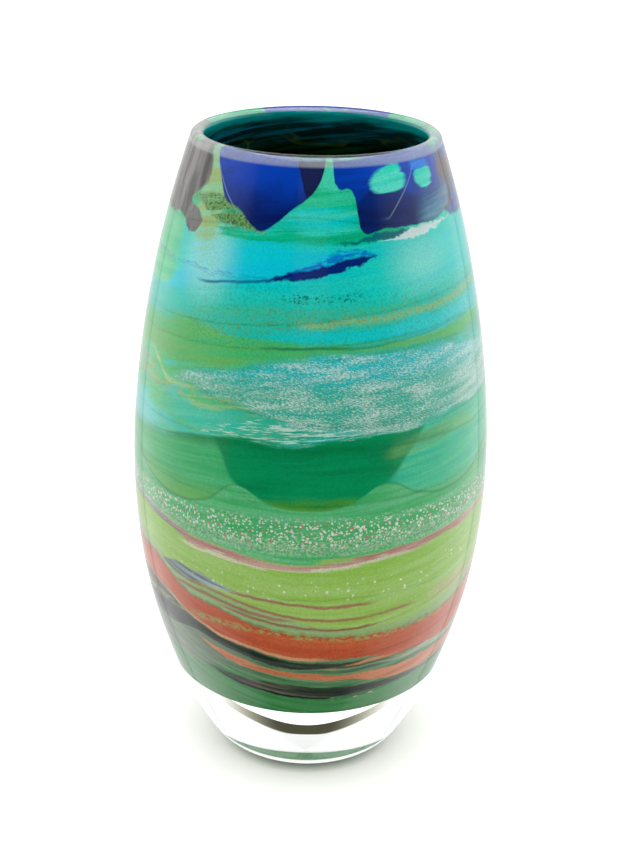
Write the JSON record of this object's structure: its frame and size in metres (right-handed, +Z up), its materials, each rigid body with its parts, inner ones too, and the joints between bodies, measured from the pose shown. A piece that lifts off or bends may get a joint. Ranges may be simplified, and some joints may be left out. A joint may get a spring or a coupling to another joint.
{
  "type": "art glass vase",
  "caption": "Tall barrel-shaped hand blown vase with a coloured band layer cased in clear glass, a rounded lip and a heavy clear base.",
  "frame": {"origin": "centre of the flat foot that the vase stands on", "axes": "+Z up along the axis of the vase, -Y is the front with the blue shards and the white feather"},
  "size_m": [0.1256, 0.1256, 0.23],
  "materials": {
    "clear_glass": "fire-polished, clear with a faint green tint",
    "dark_green_glass": "opaque dark green under clear glass",
    "slate_glass": "opaque slate, swirled with green",
    "orange_glass": "opaque orange-red powder",
    "lime_glass": "opaque lime powder with fine threads",
    "mauve_glass": "mauve and pink cane",
    "speckled_glass": "green with coarse white and pink frit",
    "emerald_glass": "deep emerald",
    "sea_green_glass": "sea green powder",
    "white_frit": "combed white frit",
    "olive_glass": "green and olive, grainy",
    "turquoise_glass": "turquoise powder",
    "deep_blue_glass": "deep blue feather",
    "mint_glass": "mint green",
    "cobalt_glass": "cobalt blue with near-black folds",
    "charcoal_glass": "charcoal",
    "pale_turquoise_glass": "pale turquoise chips"
  },
  "bodies": {
    "root": {"outer_gather": "clear_glass", "inner_gather": "clear_glass", "green_foot_cup": "dark_green_glass", "slate_swirl_band": "slate_glass", "orange_band": "orange_glass", "orange_trail": "orange_glass", "lime_band": "lime_glass", "mauve_thread": "mauve_glass", "speckled_frit_band": "speckled_glass", "emerald_band": "emerald_glass", "sea_green_band": "sea_green_glass", "white_frit_feather": "white_frit", "white_crest_thread": "white_frit", "olive_band": "olive_glass", "turquoise_band": "turquoise_glass", "blue_feather_streak": "deep_blue_glass", "mint_neck_band": "mint_glass", "cobalt_shard_left": "cobalt_glass", "cobalt_shard_right": "cobalt_glass", "cobalt_shard_back": "cobalt_glass", "charcoal_shard_left": "charcoal_glass", "charcoal_shard_right": "charcoal_glass", "turquoise_chip_large": "pale_turquoise_glass", "turquoise_chip_small": "pale_turquoise_glass"}
  },
  "joints": []
}
